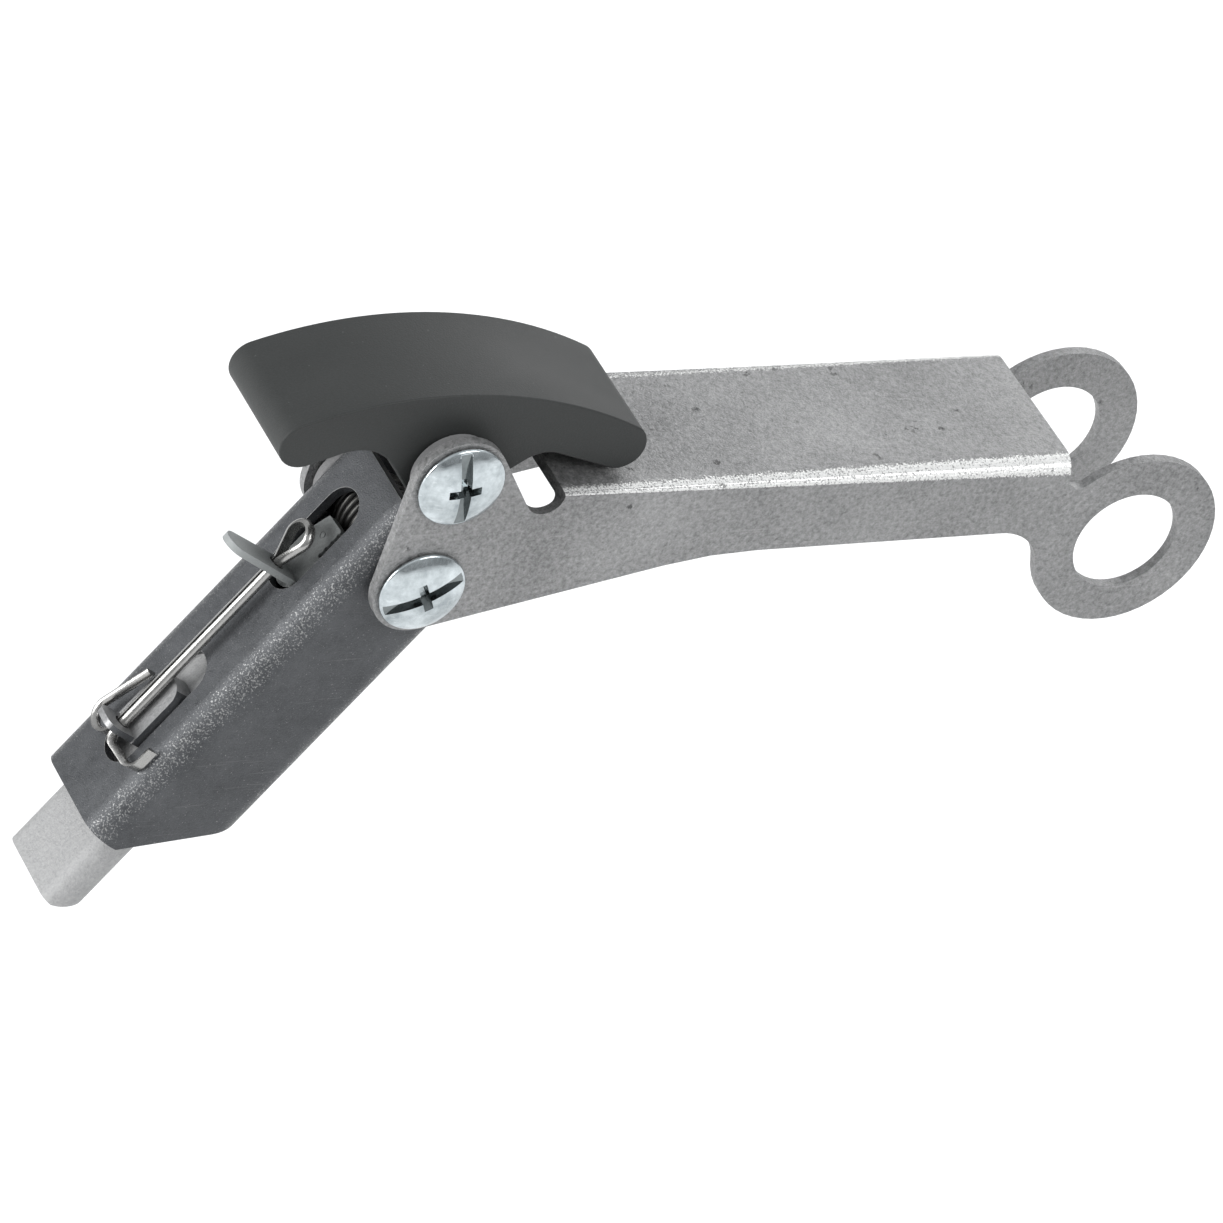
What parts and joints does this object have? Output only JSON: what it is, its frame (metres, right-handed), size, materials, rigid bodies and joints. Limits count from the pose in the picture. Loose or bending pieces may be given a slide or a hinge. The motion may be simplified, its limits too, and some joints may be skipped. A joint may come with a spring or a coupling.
{
  "type": "coupler latch lever",
  "caption": "Folded steel lever with ring eyes, a pivoting square tube with a spring bolt worked by a finger slider and split pin, and a rocker trigger.",
  "frame": {"origin": "middle of the two ring eyes, on the axis they share", "axes": "+X along the lever away from the tube and trigger, +Y across the channel along the eye axis, +Z square to the channel's web, towards its outside"},
  "size_m": [0.236, 0.0441, 0.1239],
  "materials": {
    "channel_steel": "bare tumbled sheet steel, mottled mid grey",
    "zinc_plate": "bright zinc plate with a cool tint",
    "spacer_nylon": "dull black nylon",
    "sleeve_steel": "plain turned steel",
    "trigger_plastic": "moulded charcoal plastic, fine matt skin",
    "tube_steel": "dark scale on steel tube, worn bright specks on the corners",
    "spring_wire": "dark oiled spring wire",
    "bolt_steel": "light grey blasted steel",
    "slider_plastic": "moulded grey-green plastic",
    "bright_wire": "bright half-round wire"
  },
  "bodies": {
    "lever": {"channel": "channel_steel", "upper_screw": "zinc_plate", "upper_barrel_nut": "zinc_plate", "lower_screw": "zinc_plate", "lower_barrel_nut": "zinc_plate", "upper_near_spacer": "spacer_nylon", "upper_far_spacer": "spacer_nylon", "lower_near_spacer": "spacer_nylon", "lower_far_spacer": "spacer_nylon", "pivot_sleeve": "sleeve_steel"},
    "trigger": {"trigger": "trigger_plastic", "trigger_bush": "sleeve_steel"},
    "housing": {"tube_housing": "tube_steel", "bolt_spring": "spring_wire", "torsion_spring": "spring_wire", "spring_seat": "sleeve_steel"},
    "slider": {"slider": "slider_plastic", "cotter_pin": "bright_wire"},
    "bolt": {"bolt": "bolt_steel", "key_block": "bolt_steel", "key_screw": "sleeve_steel"}
  },
  "joints": [
    {"name": "trigger_hinge", "type": "hinge", "parent": "lever", "child": "trigger", "pos_m": [-0.156, 0, 0.0254], "axis": [0, -1, 0], "range_deg": [0, 28], "stiffness_Nm_per_rad": 0.15, "springref_deg": -22.92},
    {"name": "housing_hinge", "type": "hinge", "parent": "lever", "child": "housing", "pos_m": [-0.158, 0, 0], "axis": [0, -1, 0], "range_deg": [-8, 10], "stiffness_Nm_per_rad": 0.9, "springref_deg": -5.16},
    {"name": "bolt_slide", "type": "slide", "parent": "housing", "child": "bolt", "axis": [0.5388, 0, 0.8425], "range_m": [0, 0.0062], "stiffness_N_per_m": 900, "springref_m": -0.012, "deforming": ["bolt_spring"]},
    {"name": "slider_slide", "type": "slide", "parent": "housing", "child": "slider", "axis": [0.5388, 0, 0.8425], "range_m": [0, 0.0062]}
  ],
  "couplings": [
    {"joint": "slider_slide", "follows": "bolt_slide", "ratio": 1}
  ]
}
